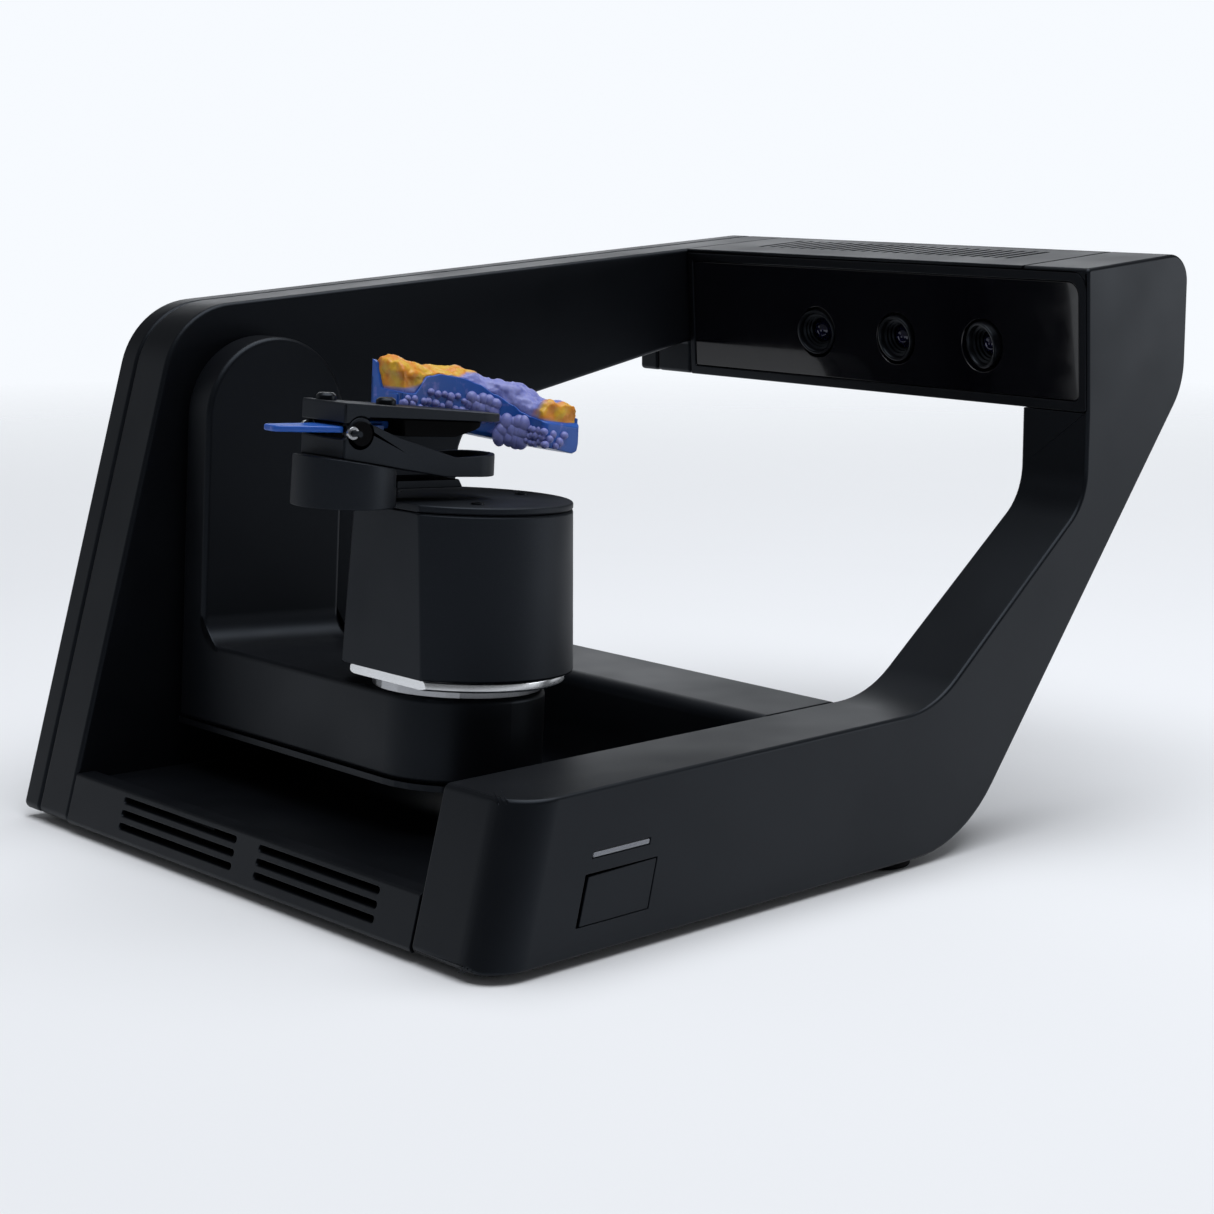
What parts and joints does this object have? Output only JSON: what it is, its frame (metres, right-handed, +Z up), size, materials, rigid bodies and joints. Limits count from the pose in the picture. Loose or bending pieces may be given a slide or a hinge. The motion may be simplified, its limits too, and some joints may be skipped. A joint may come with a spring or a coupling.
{
  "type": "desktop 3d scanner",
  "caption": "Open-frame black bench scanner: camera head on two side frames over a swing arm with turntable, hinged sample clamp and a dental impression tray.",
  "frame": {"origin": "middle of the bounding box, on the surface it stands on", "axes": "+X from the user towards the camera head, +Y from the near rail towards the far wall, +Z up"},
  "size_m": [0.4018, 0.3188, 0.2366],
  "materials": {
    "shell": "fine-grained near-black moulding",
    "dark_trim": "smooth black moulding",
    "gloss": "piano black, mirror smooth",
    "lens": "coated lens glass",
    "steel": "machined",
    "silver": "bright satin",
    "rubber": "soft, matt",
    "circuit_board": "solder-mask green",
    "lamp": "milky white diffuser",
    "tray": "translucent-looking blue-violet moulding",
    "silicone": "orange-yellow impression silicone"
  },
  "bodies": {
    "base": {"near_frame": "shell", "far_frame": "shell", "far_cover": "shell", "base_tray": "shell", "bottom_cover": "dark_trim", "rail_cover": "dark_trim", "foot_1": "rubber", "foot_2": "rubber", "foot_3": "rubber", "foot_4": "rubber", "head_housing": "shell", "head_top_cover": "shell", "front_bezel": "gloss", "front_window": "gloss", "camera_left_barrel": "dark_trim", "camera_left_lens": "lens", "camera_right_barrel": "dark_trim", "camera_right_lens": "lens", "projector_barrel": "dark_trim", "projector_lens": "lens", "optics_bracket": "steel", "status_light": "lamp", "light_board": "circuit_board", "main_board": "circuit_board", "power_board": "circuit_board", "fan_housing": "dark_trim", "power_inlet": "dark_trim", "usb_port": "steel", "swing_bearing": "steel", "swing_motor": "dark_trim"},
    "button": {"power_button": "shell"},
    "fan": {"fan_rotor": "dark_trim"},
    "swing_drive": {"swing_pinion": "steel"},
    "arm": {"arm_shell": "shell", "arm_bottom_cover": "dark_trim", "turn_bearing": "steel", "turn_motor": "dark_trim", "swing_shaft": "steel"},
    "turn_drive": {"turn_pinion": "steel"},
    "table": {"turn_shaft": "steel", "turn_ring": "silver", "riser": "shell", "lid": "shell", "lid_screw_1": "dark_trim", "lid_screw_2": "dark_trim", "lid_screw_3": "dark_trim", "clamp_puck": "shell", "clamp_bridge": "dark_trim", "clamp_lower": "shell", "pin_screw_1": "steel", "pin_screw_2": "steel", "pivot_pin_1": "dark_trim", "pivot_pin_2": "dark_trim", "sample_tray": "tray", "sample_impression": "silicone"},
    "jaw": {"clamp_upper": "shell", "clamp_pad": "rubber", "clamp_knob_1": "dark_trim", "clamp_knob_2": "dark_trim"}
  },
  "joints": [
    {"name": "arm_swing", "type": "hinge", "parent": "base", "child": "arm", "pos_m": [-0.10857, 0.11828, 0.1685], "axis": [0, 1, 0], "range_deg": [-12, 86.5]},
    {"name": "swing_pinion_spin", "type": "hinge", "parent": "base", "child": "swing_drive", "pos_m": [-0.07237, 0.12748, 0.1685], "axis": [0, 1, 0], "range_deg": [-350, 52]},
    {"name": "table_spin", "type": "hinge", "parent": "arm", "child": "table", "pos_m": [-0.11442, -0.03172, 0.07293], "axis": [0.061, 0, 0.9981], "continuous": true},
    {"name": "turn_pinion_spin", "type": "hinge", "parent": "arm", "child": "turn_drive", "pos_m": [-0.11495, 0.00098, 0.0642], "axis": [0.061, 0, 0.9981], "continuous": true},
    {"name": "jaw_open", "type": "hinge", "parent": "table", "child": "jaw", "pos_m": [-0.16825, -0.03172, 0.17886], "axis": [0, -1, 0], "range_deg": [0, 8], "stiffness_Nm_per_rad": 0.15, "springref_deg": -28.65},
    {"name": "power_press", "type": "slide", "parent": "base", "child": "button", "axis": [0, 1, 0], "range_m": [0, 0.0012], "stiffness_N_per_m": 400, "springref_m": -0.0005},
    {"name": "fan_spin", "type": "hinge", "parent": "base", "child": "fan", "pos_m": [-0.16157, 0.05948, 0.0125], "axis": [0, 0, 1], "continuous": true}
  ],
  "couplings": [
    {"joint": "swing_pinion_spin", "follows": "arm_swing", "ratio": -4},
    {"joint": "turn_pinion_spin", "follows": "table_spin", "ratio": -3.3333}
  ]
}
